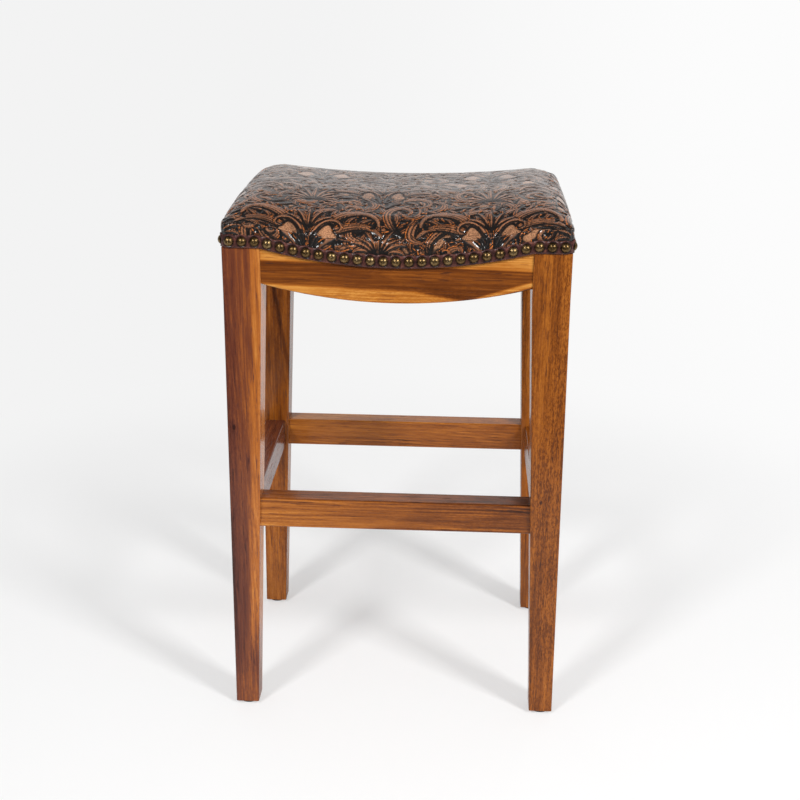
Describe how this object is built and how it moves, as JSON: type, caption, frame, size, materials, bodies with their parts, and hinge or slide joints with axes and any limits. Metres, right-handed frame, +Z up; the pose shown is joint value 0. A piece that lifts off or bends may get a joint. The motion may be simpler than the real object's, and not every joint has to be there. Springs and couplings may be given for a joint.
{
  "type": "counter stool",
  "caption": "Backless counter stool: four tapered legs, curved aprons and stretchers in hardwood, under a padded saddle seat in embossed leather with a nailed band.",
  "frame": {"origin": "on the floor, under the middle of the stool", "axes": "+Z up, +X to the right along the longer side of the seat, -Y towards the front"},
  "size_m": [0.408, 0.317, 0.66],
  "materials": {
    "leg_front_left_wood": "hand-rubbed semi-gloss lacquer over orange-brown hardwood",
    "leg_front_right_wood": "hand-rubbed semi-gloss lacquer over orange-brown hardwood",
    "leg_back_left_wood": "hand-rubbed semi-gloss lacquer over orange-brown hardwood",
    "leg_back_right_wood": "hand-rubbed semi-gloss lacquer over orange-brown hardwood",
    "apron_front_wood": "hand-rubbed semi-gloss lacquer over orange-brown hardwood",
    "apron_back_wood": "hand-rubbed semi-gloss lacquer over orange-brown hardwood",
    "apron_side_wood": "hand-rubbed semi-gloss lacquer over orange-brown hardwood",
    "stretcher_front_wood": "hand-rubbed semi-gloss lacquer over orange-brown hardwood",
    "stretcher_back_wood": "hand-rubbed semi-gloss lacquer over orange-brown hardwood",
    "stretcher_side_wood": "hand-rubbed semi-gloss lacquer over orange-brown hardwood",
    "block_wood": "sawn, unfinished",
    "board_plywood": "plywood, unfinished",
    "foam": "open-cell seat foam",
    "tooled_leather": "embossed scroll leather, near-black in the recesses, copper brown on the burnished relief",
    "band_leather": "dark oxblood, satin",
    "nail_brass": "antiqued, dark in the hollows",
    "dust_cloth": "black non-woven cloth",
    "screw_steel": "zinc plated",
    "glide_plastic": "hard black plastic"
  },
  "bodies": {
    "root": {"leg_front_left": "leg_front_left_wood", "leg_front_right": "leg_front_right_wood", "leg_back_left": "leg_back_left_wood", "leg_back_right": "leg_back_right_wood", "apron_front": "apron_front_wood", "stretcher_front": "stretcher_front_wood", "apron_back": "apron_back_wood", "stretcher_back": "stretcher_back_wood", "apron_left": "apron_side_wood", "stretcher_left": "stretcher_side_wood", "apron_right": "apron_side_wood", "stretcher_right": "stretcher_side_wood", "corner_block_front_left": "block_wood", "foot_glide_front_left": "glide_plastic", "corner_block_front_right": "block_wood", "foot_glide_front_right": "glide_plastic", "corner_block_back_left": "block_wood", "foot_glide_back_left": "glide_plastic", "corner_block_back_right": "block_wood", "foot_glide_back_right": "glide_plastic", "glide_nails": "screw_steel", "corner_block_screws": "screw_steel", "seat_screws": "screw_steel", "seat_board": "board_plywood", "seat_foam": "foam", "seat_cover": "tooled_leather", "trim_band": "band_leather", "dust_cover": "dust_cloth", "dust_cover_tacks": "screw_steel", "upholstery_nails_front": "nail_brass", "upholstery_nails_back": "nail_brass", "upholstery_nails_left": "nail_brass", "upholstery_nails_right": "nail_brass"}
  },
  "joints": []
}
